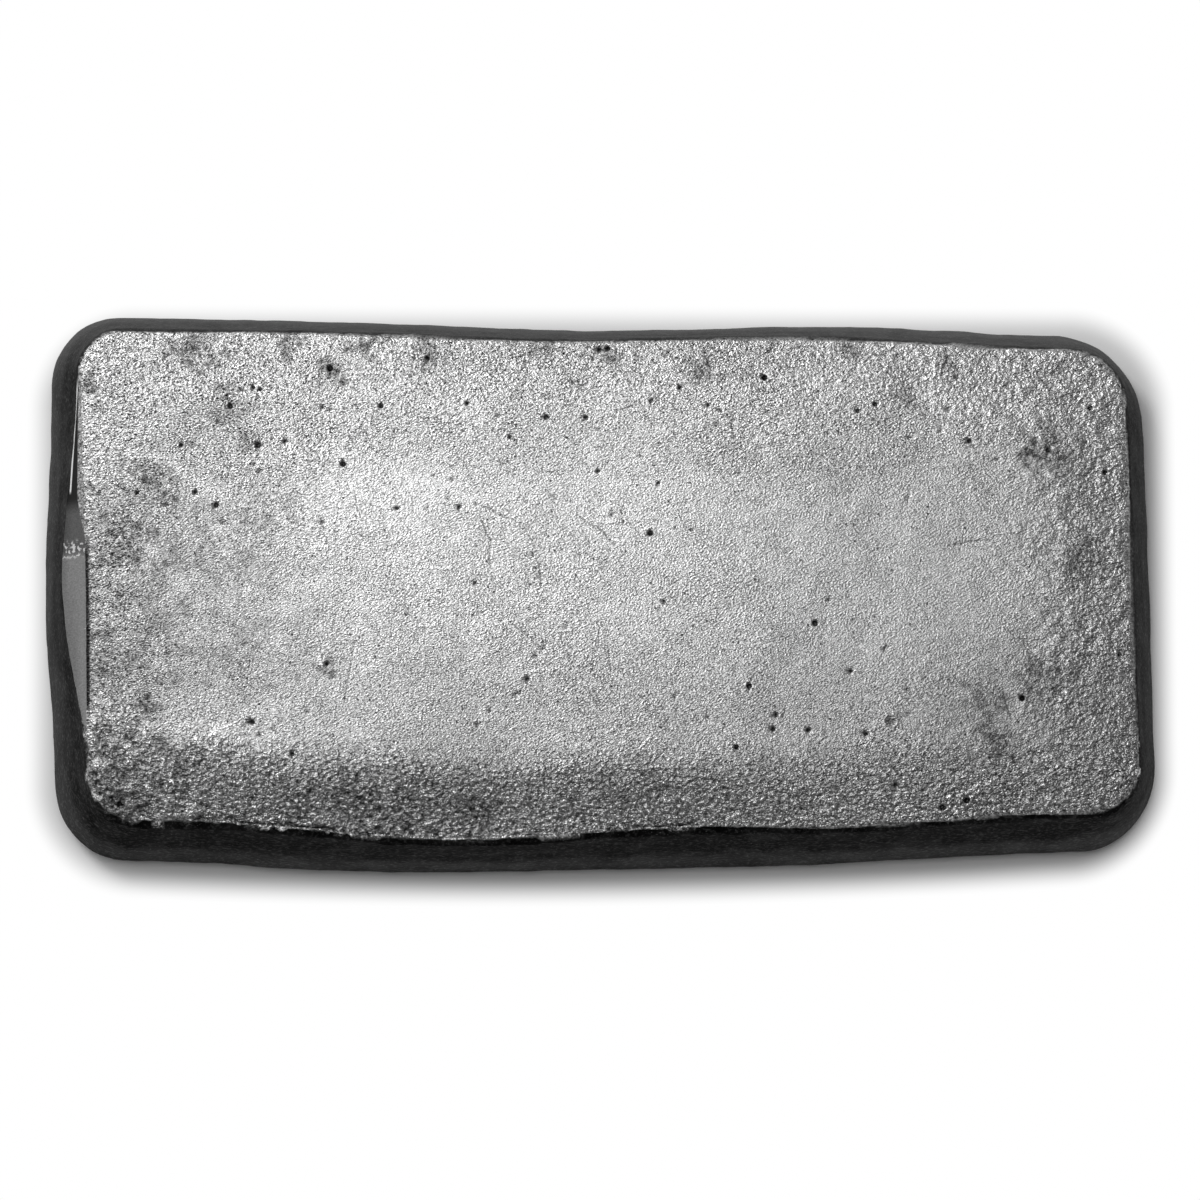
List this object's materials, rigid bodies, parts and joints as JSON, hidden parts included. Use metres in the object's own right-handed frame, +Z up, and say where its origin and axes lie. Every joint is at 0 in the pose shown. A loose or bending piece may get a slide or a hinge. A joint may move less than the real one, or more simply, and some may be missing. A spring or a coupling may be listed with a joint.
{
  "type": "metal ingot",
  "caption": "Hand-poured rectangular bar of silver with rounded corners and drafted walls, lying on its wider poured face with the smaller mould face up.",
  "frame": {"origin": "middle of the bar's outline, on the floor that it lies on", "axes": "+Z up through the face cast on the mould's floor, X along the bar, Y across it"},
  "size_m": [0.1176, 0.059, 0.0156],
  "materials": {
    "cast_silver": "as-cast silver, grainy and pitted, silver grey on the face and dark with tarnish on the walls"
  },
  "bodies": {
    "root": {"ingot": "cast_silver"}
  },
  "joints": []
}
